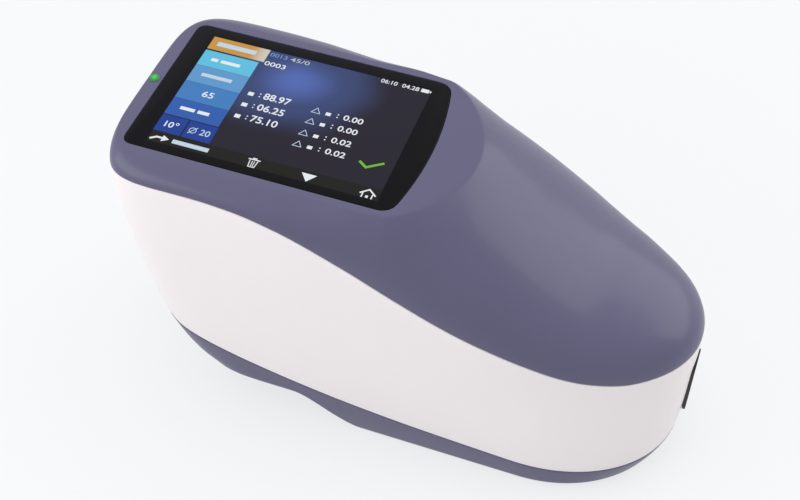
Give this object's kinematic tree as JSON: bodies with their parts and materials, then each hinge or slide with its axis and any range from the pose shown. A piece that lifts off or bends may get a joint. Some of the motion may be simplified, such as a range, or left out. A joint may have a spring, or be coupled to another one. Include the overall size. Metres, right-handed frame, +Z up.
{
  "type": "portable spectrophotometer",
  "caption": "Handheld colour-measuring instrument with a flat screen end, a sloping grip tail, a measuring port underneath, a push key, a power slider and a battery door.",
  "frame": {"origin": "on the bench plane, under the middle of the instrument's length and width", "axes": "+X along the body towards the nose, +Y towards the side with the measuring key, +Z up"},
  "size_m": [0.184, 0.077, 0.106],
  "materials": {
    "shell_grey": "satin moulded plastic, violet grey",
    "band_white": "satin moulded plastic, warm white",
    "black_glass": "polished cover glass, printed black behind",
    "display_dark": "display face, off",
    "light_green": "tinted light pipe",
    "black_plastic": "fine-textured black",
    "inner_plastic": "plain moulded",
    "board_green": "solder-masked laminate",
    "cast_alloy": "as cast, lightly blasted",
    "screw_steel": "plated",
    "clear_glass": "polished optical glass",
    "mirror_coat": "front-surface mirror coating",
    "soft_black": "matt rubber",
    "battery_wrap": "shrink wrap",
    "ribbon_amber": "film ribbon"
  },
  "bodies": {
    "instrument": {"top_shell": "shell_grey", "middle_band": "band_white", "base_shell": "shell_grey", "touch_glass": "black_glass", "display_panel": "display_dark", "status_led": "light_green", "display_bracket": "inner_plastic", "main_board": "board_green", "buzzer": "black_plastic", "display_flex": "ribbon_amber", "chassis": "cast_alloy", "optics_block": "black_plastic", "led_ring_board": "board_green", "port_glass": "clear_glass", "lens_tube": "black_plastic", "collection_lens": "clear_glass", "spectrometer_tray": "cast_alloy", "spectrometer_lid": "cast_alloy", "fold_mirror": "mirror_coat", "entrance_slit": "black_plastic", "diffraction_grating": "mirror_coat", "sensor_board": "board_green", "port_seal": "soft_black", "battery_pack": "battery_wrap", "battery_contacts": "black_plastic", "front_right_foot": "soft_black", "front_left_foot": "soft_black", "rear_right_foot": "soft_black", "rear_left_foot": "soft_black", "port_panel": "black_plastic", "slide_switch_body": "screw_steel", "usb_socket": "screw_steel", "port_board": "board_green", "port_flex": "ribbon_amber", "key_board": "board_green", "board_screw_1": "screw_steel", "board_screw_2": "screw_steel", "board_screw_3": "screw_steel", "board_screw_4": "screw_steel", "tray_screw_1": "screw_steel", "tray_screw_2": "screw_steel", "tray_screw_3": "screw_steel", "tray_screw_4": "screw_steel", "case_screw_nose_right": "screw_steel", "case_screw_nose_left": "screw_steel", "case_screw_middle_right": "screw_steel", "case_screw_middle_left": "screw_steel"},
    "key": {"measure_key": "shell_grey"},
    "switch": {"power_switch": "black_plastic"},
    "aperture": {"aperture_ring": "black_plastic"},
    "door": {"battery_door": "shell_grey"}
  },
  "joints": [
    {"name": "key_push", "type": "slide", "parent": "instrument", "child": "key", "axis": [0, -1, 0], "range_m": [0, 0.001], "stiffness_N_per_m": 800, "springref_m": -0.001},
    {"name": "switch_slide", "type": "slide", "parent": "instrument", "child": "switch", "axis": [0, 0, 1], "range_m": [-0.004, 0]},
    {"name": "aperture_twist", "type": "hinge", "parent": "instrument", "child": "aperture", "pos_m": [-0.047, 0, 0.0005], "axis": [0, 0, 1], "range_deg": [0, 30]},
    {"name": "door_swing", "type": "hinge", "parent": "instrument", "child": "door", "pos_m": [-0.001, 0, 0.0006], "axis": [0, 1, 0], "range_deg": [0, 85]}
  ]
}
